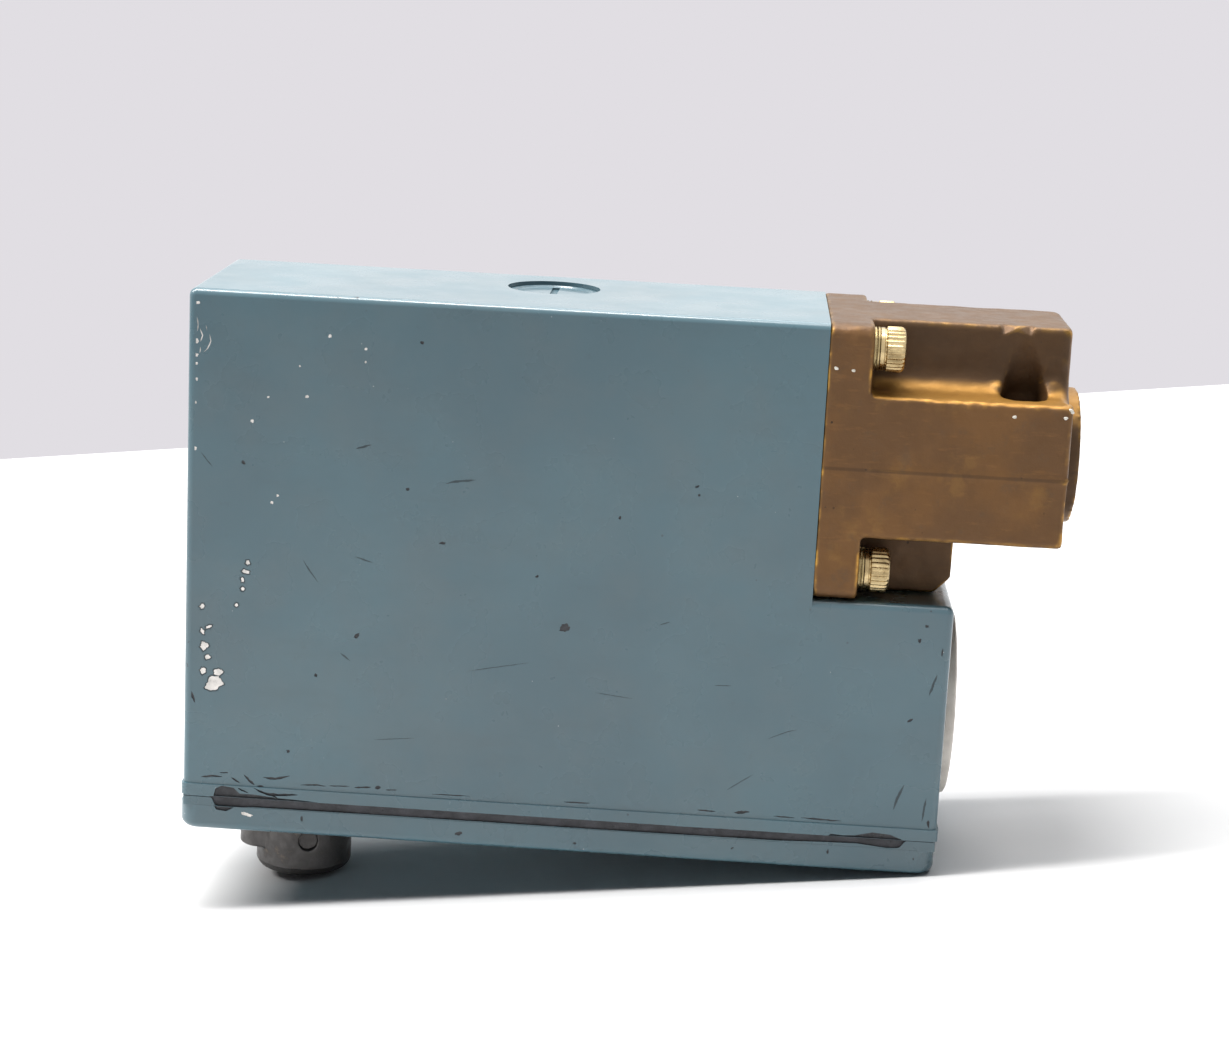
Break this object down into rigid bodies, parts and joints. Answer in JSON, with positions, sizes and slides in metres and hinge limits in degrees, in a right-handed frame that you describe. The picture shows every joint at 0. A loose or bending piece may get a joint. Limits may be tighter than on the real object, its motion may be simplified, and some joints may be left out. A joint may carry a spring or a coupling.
{
  "type": "pressure switch",
  "caption": "L-shaped painted pressure switch with a brass port block, flat gasketed cover, setting knob and snap-switch mechanism inside.",
  "frame": {"origin": "centre of the pressure port's mouth, on the sealing face", "axes": "+X out of the pressure port, along the housing; +Y from the near side face to the far side face; +Z from the cover to the top face"},
  "size_m": [0.1387, 0.0376, 0.0985],
  "materials": {
    "teal_paint": "worn gloss enamel over a casting",
    "gasket_fibre": "matt fibre-rubber sheet",
    "zinc_steel": "zinc plated steel",
    "forged_brass": "forged brass, dull and tarnished",
    "screw_steel": "plated steel, knurled heads",
    "washer_steel": "tarnished spring steel",
    "bright_steel": "ground stainless steel",
    "spring_steel": "oiled spring steel",
    "lever_steel": "pressed steel",
    "seal_rubber": "black nitrile rubber",
    "switch_plastic": "black phenolic",
    "plunger_plastic": "red acetal",
    "contact_brass": "turned brass",
    "block_plastic": "grey polyamide",
    "wire_brown": "brown PVC insulation",
    "wire_blue": "blue PVC insulation",
    "wire_black": "black PVC insulation",
    "entry_plug_plastic": "beige moulded nylon",
    "knob_plastic": "dark grey-brown moulded plastic"
  },
  "bodies": {
    "housing": {"housing": "teal_paint", "cover_gasket": "gasket_fibre", "cover": "teal_paint", "cover_screws": "zinc_steel", "port_block": "forged_brass", "port_block_screws": "screw_steel", "port_block_spring_washers": "washer_steel", "mechanism_plate": "zinc_steel", "mechanism_screws": "zinc_steel", "pivot_stud": "bright_steel", "pivot_clip": "spring_steel", "range_spring": "spring_steel", "spindle_seal": "seal_rubber", "microswitch_body": "switch_plastic", "microswitch_blades": "contact_brass", "microswitch_screws": "zinc_steel", "terminal_block": "block_plastic", "terminal_cages": "contact_brass", "terminal_screws": "zinc_steel", "terminal_block_screws": "zinc_steel", "wire_common": "wire_brown", "wire_normally_open": "wire_blue", "wire_normally_closed": "wire_black", "earth_screw": "contact_brass", "earth_washer": "zinc_steel", "access_plug": "teal_paint", "access_plug_seal": "seal_rubber", "cable_entry_plug": "entry_plug_plastic", "cable_entry_seal": "seal_rubber"},
    "piston": {"piston": "bright_steel", "piston_seal": "seal_rubber", "push_rod": "bright_steel"},
    "lever": {"lever": "lever_steel", "upper_spring_cup": "zinc_steel", "trip_screw": "zinc_steel", "trip_lock_nut": "contact_brass"},
    "switch_plunger": {"microswitch_plunger": "plunger_plastic"},
    "setting_knob": {"setting_knob": "knob_plastic", "knob_grub_screw": "contact_brass", "setting_spindle": "bright_steel", "spindle_clip": "spring_steel"},
    "spring_nut": {"spring_nut": "contact_brass"}
  },
  "joints": [
    {"name": "lever_pivot", "type": "hinge", "parent": "housing", "child": "lever", "pos_m": [-0.0581, 0, -0.02], "axis": [0, -1, 0], "range_deg": [0, 0.72], "stiffness_Nm_per_rad": 20, "springref_deg": -2.86},
    {"name": "piston_slide", "type": "slide", "parent": "housing", "child": "piston", "axis": [-1, 0, 0], "range_m": [0, 0.00026]},
    {"name": "plunger_slide", "type": "slide", "parent": "housing", "child": "switch_plunger", "axis": [0, 0, -1], "range_m": [0, 0.00034]},
    {"name": "knob_turn", "type": "hinge", "parent": "housing", "child": "setting_knob", "pos_m": [-0.1213, 0, -0.0656], "axis": [0, 0, 1], "range_deg": [-810, 810]},
    {"name": "nut_slide", "type": "slide", "parent": "housing", "child": "spring_nut", "axis": [0, 0, 1], "range_m": [-0.0034, 0.0034], "deforming": ["range_spring"]}
  ],
  "couplings": [
    {"joint": "piston_slide", "follows": "lever_pivot", "m_per_rad": 0.02},
    {"joint": "plunger_slide", "follows": "lever_pivot", "m_per_rad": 0.0257},
    {"joint": "nut_slide", "follows": "knob_turn", "m_per_rad": 0.00023873}
  ]
}
